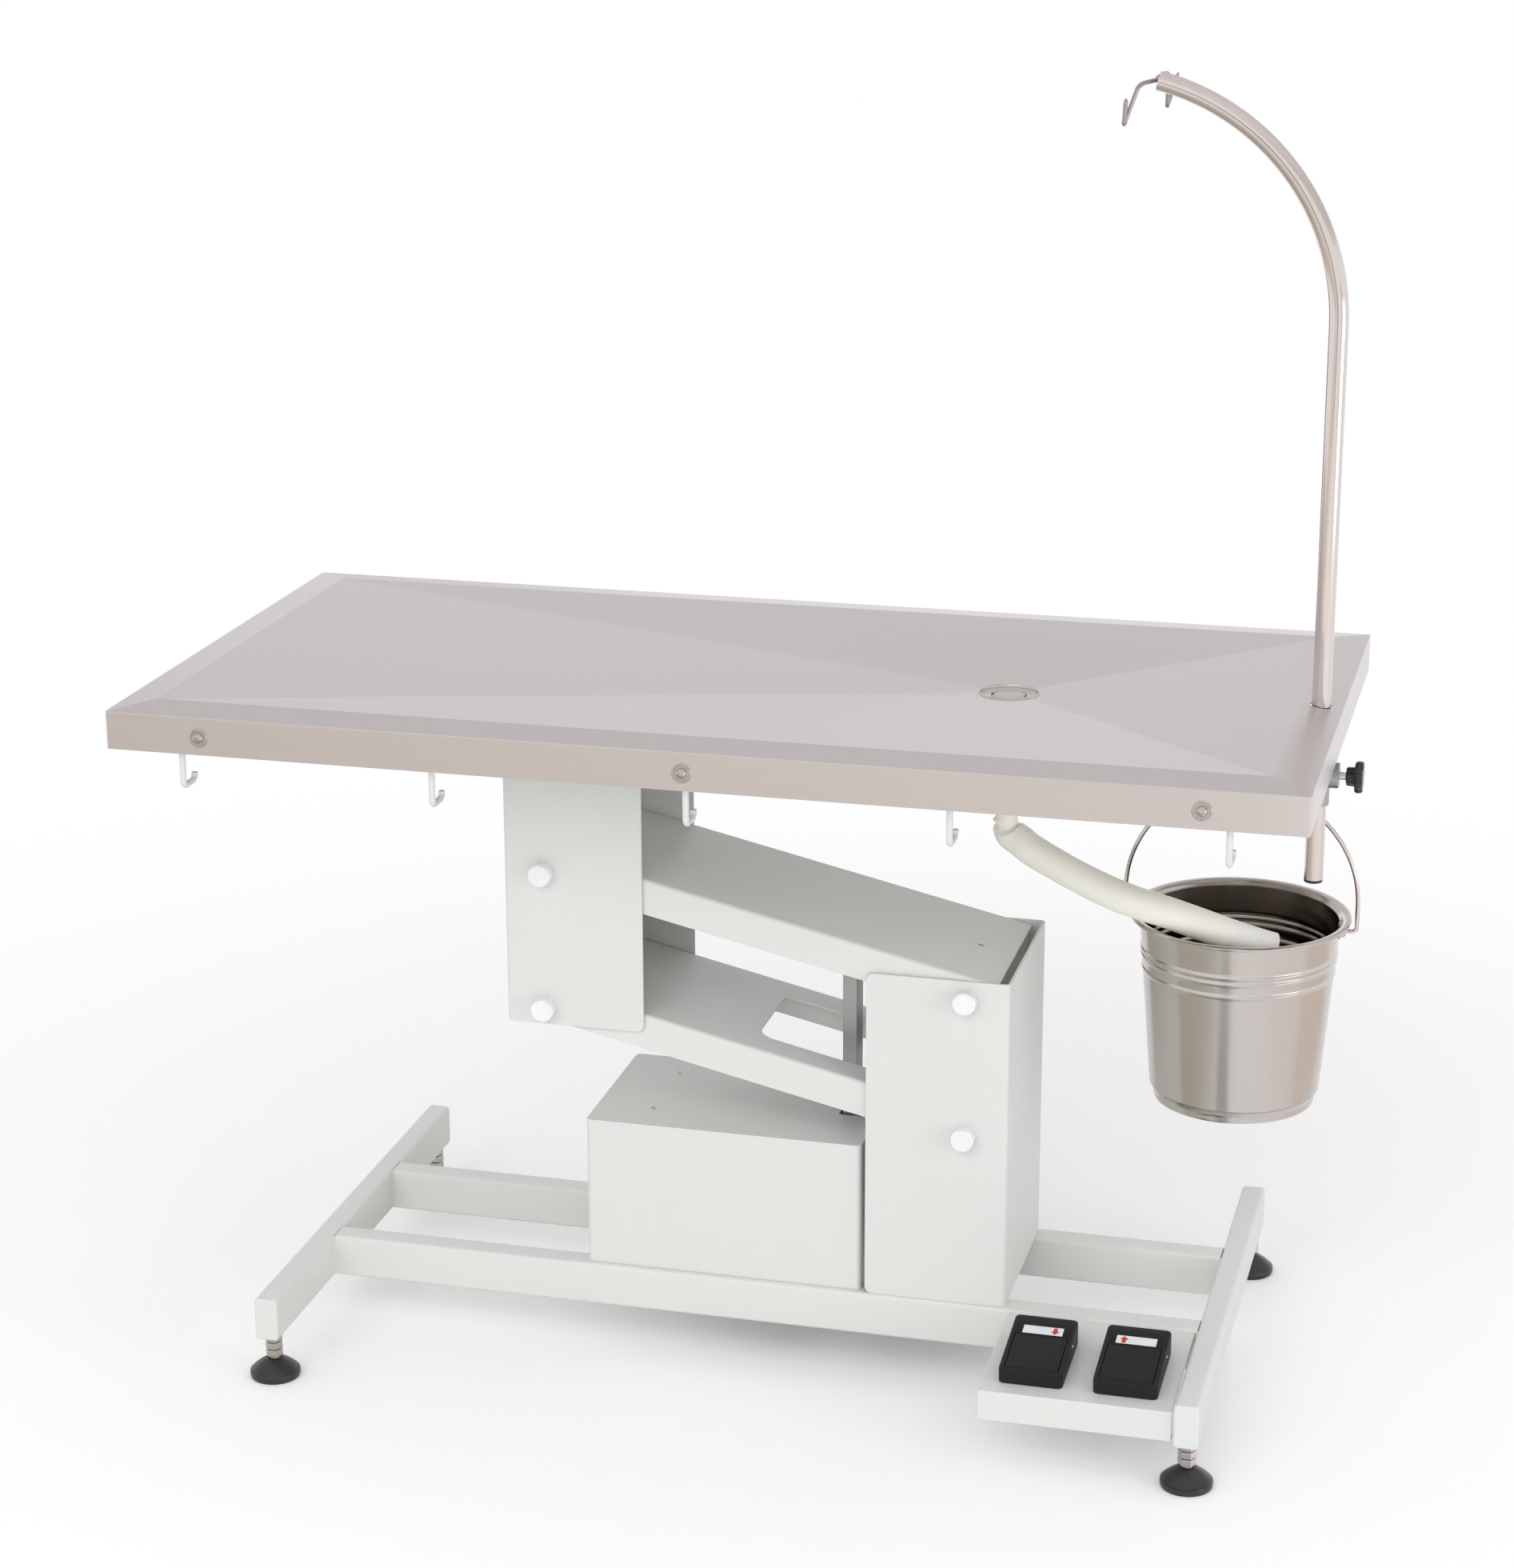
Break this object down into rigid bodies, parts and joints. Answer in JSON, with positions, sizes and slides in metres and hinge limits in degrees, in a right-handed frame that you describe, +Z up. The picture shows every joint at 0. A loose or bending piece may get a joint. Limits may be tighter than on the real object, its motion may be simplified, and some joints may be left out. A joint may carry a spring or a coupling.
{
  "type": "veterinary exam table",
  "caption": "Height-adjustable stainless veterinary table on a parallelogram lift, with drain, hose and bucket, drip pole, tie hooks and foot pedals.",
  "frame": {"origin": "on the floor, under the middle of the base frame", "axes": "+X along the table towards the drip pole, +Y from the pedal side to the back, +Z up"},
  "size_m": [1.2234, 0.6, 1.3589],
  "materials": {
    "powder_coat": "pale grey powder coat with a fine even texture",
    "satin_stainless": "satin stainless sheet with a fine brushed grain",
    "drain_fitting": "satin stainless fitting with a pale moulded tail pipe",
    "polished_stainless": "polished stainless",
    "nickel_steel": "nickel plated steel",
    "sleeve_steel": "grey painted steel",
    "actuator_alloy": "bare die cast alloy",
    "foot_plastic": "black moulded plastic",
    "pedal_plastic": "matte black moulded plastic with a fine grain",
    "unit_plastic": "black moulded plastic",
    "knob_plastic": "glossy black plastic",
    "cap_plastic": "smooth white plastic",
    "hose_vinyl": "cream translucent vinyl"
  },
  "bodies": {
    "base": {"left_beam": "powder_coat", "right_beam": "powder_coat", "front_rail": "powder_coat", "back_rail": "powder_coat", "column": "powder_coat", "pivot_shaft_lower_right": "nickel_steel", "pivot_cap_lower_right": "cap_plastic", "pivot_shaft_upper_right": "nickel_steel", "pivot_cap_upper_right": "cap_plastic", "actuator_mount": "powder_coat", "box_cover": "powder_coat", "box_floor": "powder_coat", "control_unit": "unit_plastic", "power_inlet": "unit_plastic", "pedal_tray": "powder_coat", "pedal_housing_down": "pedal_plastic", "pedal_pin_down": "nickel_steel", "pedal_housing_up": "pedal_plastic", "pedal_pin_up": "nickel_steel"},
    "upper_arm": {"upper_arm": "powder_coat", "actuator_top_pin": "nickel_steel"},
    "lower_arm": {"lower_arm": "powder_coat"},
    "actuator": {"actuator_housing": "actuator_alloy", "actuator_motor": "unit_plastic"},
    "rod": {"actuator_rod": "satin_stainless"},
    "table": {"head_bracket": "powder_coat", "pivot_shaft_lower_left": "nickel_steel", "pivot_cap_lower_left": "cap_plastic", "pivot_shaft_upper_left": "nickel_steel", "pivot_cap_upper_left": "cap_plastic", "frame_cross_left": "powder_coat", "frame_cross_right": "powder_coat", "frame_cross_bucket": "powder_coat", "frame_front": "powder_coat", "frame_back": "powder_coat", "frame_end_left": "powder_coat", "frame_end_right": "powder_coat", "table_pan": "satin_stainless", "drain_body": "drain_fitting", "drain_elbow": "hose_vinyl", "drain_hose": "hose_vinyl", "pole_sleeve": "sleeve_steel"},
    "drain_cover": {"drain_cover": "satin_stainless"},
    "knob": {"clamp_knob": "knob_plastic", "clamp_screw": "nickel_steel"},
    "pole_foot": {"pole_plug": "foot_plastic"},
    "pole": {"pole": "polished_stainless", "drip_hook": "polished_stainless"},
    "bail": {"bail": "polished_stainless"},
    "bucket": {"bucket": "polished_stainless"},
    "foot_front_left": {"foot_pad_front_left": "foot_plastic", "foot_stud_front_left": "nickel_steel"},
    "foot_back_left": {"foot_pad_back_left": "foot_plastic", "foot_stud_back_left": "nickel_steel"},
    "foot_front_right": {"foot_pad_front_right": "foot_plastic", "foot_stud_front_right": "nickel_steel"},
    "foot_back_right": {"foot_pad_back_right": "foot_plastic", "foot_stud_back_right": "nickel_steel"},
    "tread_down": {"pedal_tread_down": "pedal_plastic"},
    "tread_up": {"pedal_tread_up": "pedal_plastic"}
  },
  "joints": [
    {"name": "lift", "type": "hinge", "parent": "base", "child": "upper_arm", "pos_m": [0.22596, 0, 0.4345], "axis": [0, 1, 0], "range_deg": [-11, 37.4]},
    {"name": "lower_arm_swing", "type": "hinge", "parent": "base", "child": "lower_arm", "pos_m": [0.22596, 0, 0.2845], "axis": [0, 1, 0], "range_deg": [-11.1, 37.5]},
    {"name": "head_level", "type": "hinge", "parent": "upper_arm", "child": "table", "pos_m": [-0.22491, 0, 0.53528], "axis": [0, 1, 0], "range_deg": [-37.5, 11.1]},
    {"name": "actuator_tilt", "type": "hinge", "parent": "base", "child": "actuator", "pos_m": [0.0845, 0, 0.0785], "axis": [0, 1, 0], "range_deg": [-1.54, 5.1]},
    {"name": "rod_pivot", "type": "hinge", "parent": "upper_arm", "child": "rod", "pos_m": [0.0845, 0, 0.46612], "axis": [0, 1, 0], "range_deg": [-32.45, 9.62]},
    {"name": "foot_turn_front_left", "type": "hinge", "parent": "base", "child": "foot_front_left", "pos_m": [-0.486, -0.257, 0], "axis": [0, 0, 1], "continuous": true},
    {"name": "foot_turn_back_left", "type": "hinge", "parent": "base", "child": "foot_back_left", "pos_m": [-0.486, 0.257, 0], "axis": [0, 0, 1], "continuous": true},
    {"name": "foot_turn_front_right", "type": "hinge", "parent": "base", "child": "foot_front_right", "pos_m": [0.486, -0.257, 0], "axis": [0, 0, 1], "continuous": true},
    {"name": "foot_turn_back_right", "type": "hinge", "parent": "base", "child": "foot_back_right", "pos_m": [0.486, 0.257, 0], "axis": [0, 0, 1], "continuous": true},
    {"name": "tread_press_down", "type": "hinge", "parent": "base", "child": "tread_down", "pos_m": [0.32575, -0.19326, 0.1055], "axis": [1, 0, 0], "range_deg": [0, 5], "stiffness_Nm_per_rad": 2, "springref_deg": -8.59},
    {"name": "tread_press_up", "type": "hinge", "parent": "base", "child": "tread_up", "pos_m": [0.42125, -0.19326, 0.1055], "axis": [1, 0, 0], "range_deg": [0, 5], "stiffness_Nm_per_rad": 2, "springref_deg": -8.59},
    {"name": "drain_cover_lift", "type": "slide", "parent": "table", "child": "drain_cover", "axis": [0, 0, 1], "range_m": [0, 0.012]},
    {"name": "clamp_knob_turn", "type": "hinge", "parent": "table", "child": "knob", "pos_m": [0.56069, 0, 0.66928], "axis": [1, 0, 0], "continuous": true},
    {"name": "pole_height", "type": "slide", "parent": "table", "child": "pole_foot", "axis": [0, 0, 1], "range_m": [-0.03, 0.07]},
    {"name": "pole_swivel", "type": "hinge", "parent": "pole_foot", "child": "pole", "pos_m": [0.56069, 0, 0.70028], "axis": [0, 0, 1], "continuous": true},
    {"name": "bail_swing", "type": "hinge", "parent": "table", "child": "bail", "pos_m": [0.48479, 0.035, 0.64133], "axis": [1, 0, 0], "range_deg": [0, 4]},
    {"name": "bucket_tilt", "type": "hinge", "parent": "bail", "child": "bucket", "pos_m": [0.48479, 0.035, 0.49333], "axis": [1, 0, 0], "range_deg": [0, 6]}
  ],
  "couplings": [
    {"joint": "lower_arm_swing", "follows": "lift", "ratio": 1},
    {"joint": "head_level", "follows": "lift", "ratio": -1},
    {"joint": "actuator_tilt", "follows": "lift", "ratio": 0.135},
    {"joint": "rod_pivot", "follows": "lift", "ratio": -0.865}
  ]
}
